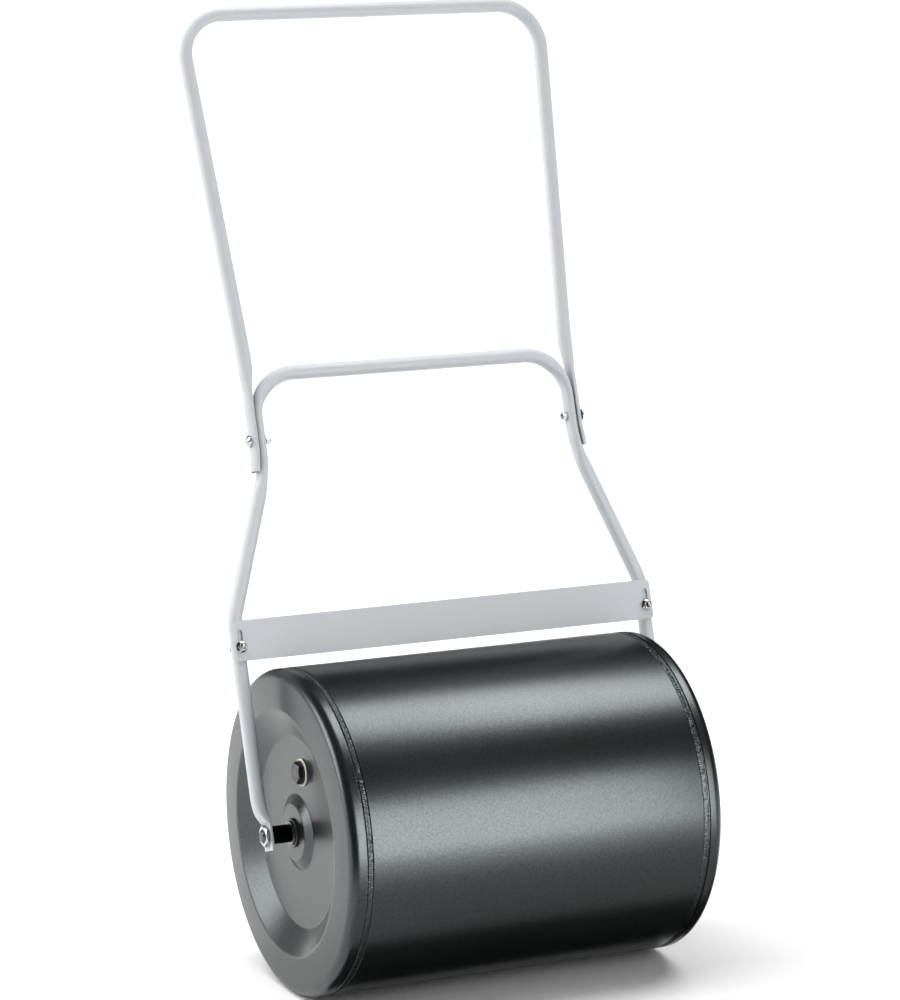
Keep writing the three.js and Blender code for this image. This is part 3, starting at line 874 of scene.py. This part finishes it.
def axle_end(place):
    """What is threaded on the axle at one end, from the bush outwards."""
    bore = AXLE_RADIUS + GAP
    washer_end = WASHER_FACE + WASHER_THICKNESS
    washer = ring(WASHER_FACE, washer_end, bore, WASHER_RADIUS)
    spacer = ring(washer_end + GAP, TAB_FACE - TAB_THICKNESS - GAP, bore, SPACER_RADIUS, soft=0.6)
    nut = hexagonal(0, AXLE_NUT_HEIGHT, AXLE_NUT_FLATS, bore)
    on_tab = Matrix.Translation(((TAB_FACE + GAP) * MM, 0, 0))
    corner_down = Matrix.Rotation(math.radians(30), 4, "X")
    return {
        "thrust_washer": solid("washer", washer, place),
        "axle_spacer": solid("spacer", spacer, place),
        "axle_nut": solid("nut", nut, place @ on_tab @ corner_down),
    }


def handle_joint(place):
    """The bolt through the saddle and the arm: its head is outside and its nut inside."""
    head_face = JOINT_ARM + SEAT_THIN + 2 * SADDLE_THIN + 2 * GAP
    nut_face = JOINT_ARM - SEAT_THIN - GAP
    length = head_face - nut_face + M6["nut"] + M6["showing"]
    at_head = place @ Matrix.Translation((head_face * MM, 0, JOINT_HEIGHT * MM))
    at_nut = place @ Matrix.Translation((nut_face * MM, 0, JOINT_HEIGHT * MM)) @ facing(-1)
    return {
        "handle_bolt": solid("bolt", domed_bolt(length), at_head),
        "handle_nut": solid("nut", hexagonal(0, M6["nut"], M6["flats"], M6["shank"] + GAP), at_nut),
    }


def scraper_clamp(side):
    """The bolt that clamps one end of the plate: its head is behind the arm and its nut in front."""
    back_face, front_face = TUBE_RADIUS + GAP, -TUBE_RADIUS - 2 * GAP - PLATE["sheet"]
    length = back_face - front_face + NUT_FLANGE["nut"] + M6["showing"]
    backwards = Matrix.Rotation(math.pi / 2, 4, "Z")

    def at(y):
        return LEANING @ Matrix.Translation((side * CLAMP_X * MM, y * MM, CLAMP_HEIGHT * MM))

    return {
        "scraper_bolt": solid("bolt", domed_bolt(length), at(back_face) @ backwards),
        "scraper_nut": solid("nut", flanged_nut(), at(front_face) @ backwards.inverted()),
    }


piece("lower_frame", lower_frame())
piece("upper_handle", upper_handle())
piece("axle_rod", solid("rod", axle_rod(), LEANING))
piece("scraper_plate", softened(solid("plate", scraper_plate(), LEANING), PLATE_EDGE))

for hand, side in ENDS.items():
    drum_end(hand, side)
    outwards = LEANING @ facing(side)
    for parts in (axle_end(outwards), handle_joint(outwards), scraper_clamp(side)):
        for name, made in parts.items():
            piece(f"{name}_{hand}", made)

# ---------------------------------------------------------------- the studio
# The paint is so black that it shows almost only what it mirrors. So the ceiling, fill and back lights,
# which light the frame and the floor, are kept out of mirrors, and the flags, which paint dark reflections
# and the floor's shade onto the drum, show in nothing else.


def floor():
    """A wide pale floor, a hair under the drum."""
    bpy.ops.mesh.primitive_circle_add(vertices=64, radius=60, fill_type="NGON", location=(0, 0, -0.0002))
    made = bpy.context.object
    made.name = "studio_floor"
    made.data.materials.append(studio_floor())


def backdrop(radius, height):
    """A tall pale wall round the edge of the floor. It lights nothing and nothing mirrors it."""
    angles = [2 * math.pi * k / 96 for k in range(96)]
    rows = [[(radius * math.cos(a), radius * math.sin(a), z) for a in angles] for z in (-1, height)]
    wall = solid("backdrop", skin(rows), Matrix())
    pale = Finish("backdrop", emission_strength=1.0, specular_ior_level=0.0)
    pale.colour(pale.noise(9000), (0.80, 0.80, 0.80), (0.83, 0.83, 0.83))
    pale.surface.inputs["Emission Color"].default_value = (0.96, 0.96, 0.96, 1)
    wall.data.materials.append(pale.material)
    wall.visible_diffuse = wall.visible_glossy = wall.visible_shadow = False


def soft_light(name, towards, spread_degrees, glow, mirrored=True):
    """A far, round soft light towards a direction. One that isn't mirrored only lights matt surfaces."""
    lamp = bpy.data.lights.new(name, "SUN")
    lamp.angle = math.radians(spread_degrees)
    lamp.energy = glow * math.pi * math.sin(lamp.angle / 2) ** 2
    made = bpy.data.objects.new(name, lamp)
    made.rotation_euler = Vector(towards).to_track_quat("Z", "Y").to_euler()
    made.visible_glossy = mirrored
    bpy.context.scene.collection.objects.link(made)


def softbox(name, centre, aim, width, height, glow, mirrored=True):
    """A rectangular soft light near the roller. It is either only mirrored, or only lights matt surfaces."""
    lamp = bpy.data.lights.new(name, "AREA")
    lamp.shape, lamp.size, lamp.size_y = "RECTANGLE", width, height
    lamp.energy = glow * math.pi * width * height
    made = bpy.data.objects.new(name, lamp)
    made.location = centre
    made.rotation_euler = (Vector(centre) - Vector(aim)).to_track_quat("Z", "Y").to_euler()
    made.visible_camera = False
    made.visible_glossy = mirrored
    made.visible_diffuse = not mirrored
    bpy.context.scene.collection.objects.link(made)


def painted_reflection_sheet(name, shape, centre, shade):
    """A matt card, from 0 black to 1 white, that shows only in what mirrors it: a painted reflection."""
    # Painted reflection: this sheet is seen only in mirrors, never lit, seen or shadowing.
    flag = solid(name, shape, Matrix.Translation(centre))
    card = Finish(name, roughness=1.0, specular_ior_level=0.0)
    card.colour(card.noise(50), (shade, shade, shade), (1.04 * shade, 1.04 * shade, 1.04 * shade))
    flag.data.materials.append(card.material)
    flag.visible_camera = flag.visible_diffuse = flag.visible_shadow = False


def painted_dark_reflection(centre, radius, start_degrees, end_degrees, height):
    """A curved black card seen only in mirrors: a painted dark reflection on the turn of the left rim."""
    count = 24
    step = (end_degrees - start_degrees) / count
    angles = [math.radians(start_degrees + step * k) for k in range(count + 1)]
    rows = [[(radius * math.cos(a), radius * math.sin(a), z) for a in angles] for z in (0, height)]
    painted_reflection_sheet("painted_dark_reflection", skin(rows, around=False), centre, shade=0.0)


def painted_floor_shade(name, centre, width, depth, shade):
    """A sheet on the floor along the drum, seen only in mirrors: painted floor shade in the drum."""
    x, y = width / 2, depth / 2
    corners = [[(-x, -y, 0), (x, -y, 0)], [(-x, y, 0), (x, y, 0)]]
    painted_reflection_sheet(name, skin(corners, around=False), centre, shade)


def room(glow, horizon, left):
    """Dim above, light along the horizon, and lighter still on the drum's left where the window is."""
    world = bpy.data.worlds.new("room")
    world.use_nodes = True
    tree = world.node_tree
    direction = tree.nodes.new("ShaderNodeTexCoord").outputs["Generated"]

    def lobe(axis, start, end, strength):
        dot = tree.nodes.new("ShaderNodeVectorMath")
        dot.operation = "DOT_PRODUCT"
        dot.inputs[1].default_value = Vector(axis).normalized()
        tree.links.new(direction, dot.inputs[0])
        fade = tree.nodes.new("ShaderNodeMapRange")
        fade.interpolation_type = "SMOOTHSTEP"
        for key, value in {"From Min": start, "From Max": end, "To Min": 0, "To Max": strength}.items():
            fade.inputs[key].default_value = value
        tree.links.new(dot.outputs["Value"], fade.inputs["Value"])
        return fade.outputs["Result"]

    def total(first, second):
        add = tree.nodes.new("ShaderNodeMath")
        tree.links.new(first, add.inputs[0])
        if isinstance(second, float):
            add.inputs[1].default_value = second
        else:
            tree.links.new(second, add.inputs[1])
        return add.outputs["Value"]

    low = lobe((0, 0, 1), 0.45, 0.0, horizon)
    window = lobe((-0.62, 0.78, 0.0), 0.5, 1.0, left)
    brightness = total(total(low, window), glow)
    tree.links.new(brightness, tree.nodes["Background"].inputs["Strength"])
    bpy.context.scene.world = world


def camera(azimuth, elevation, distance, target, lens):
    """Looks at a target from an angle to the roller's left of its front, and above the ground."""
    a, e = math.radians(azimuth), math.radians(elevation)
    back = Vector((-math.sin(a) * math.cos(e), -math.cos(a) * math.cos(e), math.sin(e)))
    made = bpy.data.objects.new("camera", bpy.data.cameras.new("camera"))
    made.data.lens = lens
    made.data.clip_end = 200
    made.location = Vector(target) + back * distance
    made.rotation_euler = back.to_track_quat("Z", "Y").to_euler()
    bpy.context.scene.collection.objects.link(made)
    bpy.context.scene.camera = made


floor()
backdrop(radius=59000, height=30000)
room(glow=0.15, horizon=0.5, left=8.0)
soft_light("overhead", (0.418, 0.03, 0.908), spread_degrees=30, glow=8.6)
soft_light("window", (-0.866, 0.394, 0.302), spread_degrees=34, glow=6.5)
soft_light("ceiling", (-0.4, 0.1, 0.9), spread_degrees=60, glow=3.4, mirrored=False)
soft_light("fill", (0.5, -0.75, 0.35), spread_degrees=70, glow=1.8, mirrored=False)
softbox("front", (0.35, -1.45, 0.48), aim=(0.0, 0.0, 0.48), width=1.3, height=0.94, glow=7.8)
softbox("back", (-0.8, 1.1, 1.5), aim=(-0.8, 1.1, 0.0), width=1.5, height=1.5, glow=2.7, mirrored=False)
# Painted dark reflection: a black card seen only in the drum's left rim, where it darkens the turn.
painted_dark_reflection((-0.25, -0.2, 0.001), 600, start_degrees=195, end_degrees=268, height=700)
# Painted shade: a black and a grey sheet on the floor, seen only in the drum, for the floor's shade by it.
painted_floor_shade("painted_floor_shade_black", (0.15, -0.15, 0.0005), width=800, depth=120, shade=0.0)
painted_floor_shade("painted_floor_shade_grey", (0.25, -0.425, 0.0005), width=1200, depth=430, shade=0.4)
camera(azimuth=25.263, elevation=10.925, distance=4.996, target=(0.0085, 0.0765, 0.5771), lens=145.37)
bpy.context.scene.view_settings.view_transform = "Standard"
